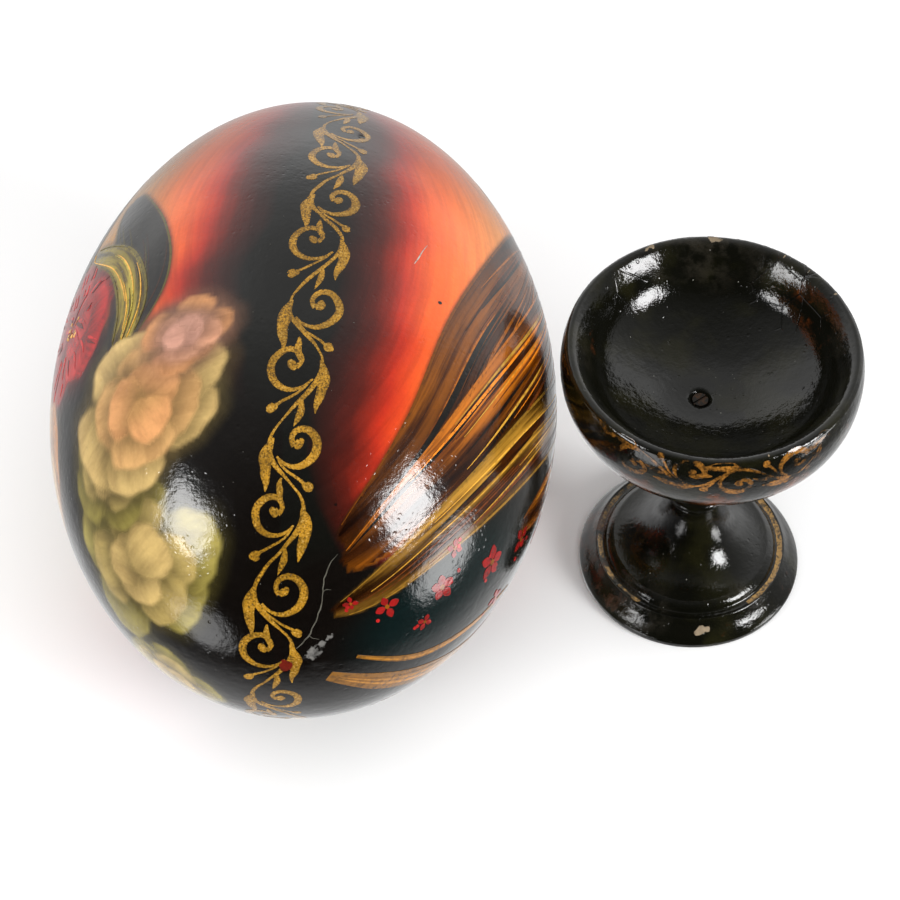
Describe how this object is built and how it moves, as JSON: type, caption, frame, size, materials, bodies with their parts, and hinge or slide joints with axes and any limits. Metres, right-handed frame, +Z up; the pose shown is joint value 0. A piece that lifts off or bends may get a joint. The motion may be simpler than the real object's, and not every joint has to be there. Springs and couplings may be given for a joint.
{
  "type": "painted ostrich egg with egg stand",
  "caption": "Lacquered ostrich egg with a painted gold scroll band, lying on its side next to its turned black wooden egg stand with a shallow cup.",
  "frame": {"origin": "on the ground, under the middle of the pair", "axes": "+Z up; the egg lies on the -X side with its long axis nearly along Y, pointed end towards +Y; the stand is upright on the +X side"},
  "size_m": [0.1908, 0.167, 0.1198],
  "materials": {
    "painted_shell": "eggshell painted black, maroon, red and orange with gold scrolls, under a deep gloss lacquer",
    "black_lacquered_wood": "turned wood under thick black gloss lacquer, worn to brown and bare wood at the edges",
    "dark_steel": "small blackened steel screw head, lacquered over"
  },
  "bodies": {
    "root": {"egg": "painted_shell", "stand_cup": "black_lacquered_wood", "stand_foot": "black_lacquered_wood", "cup_screw": "dark_steel"}
  },
  "joints": []
}
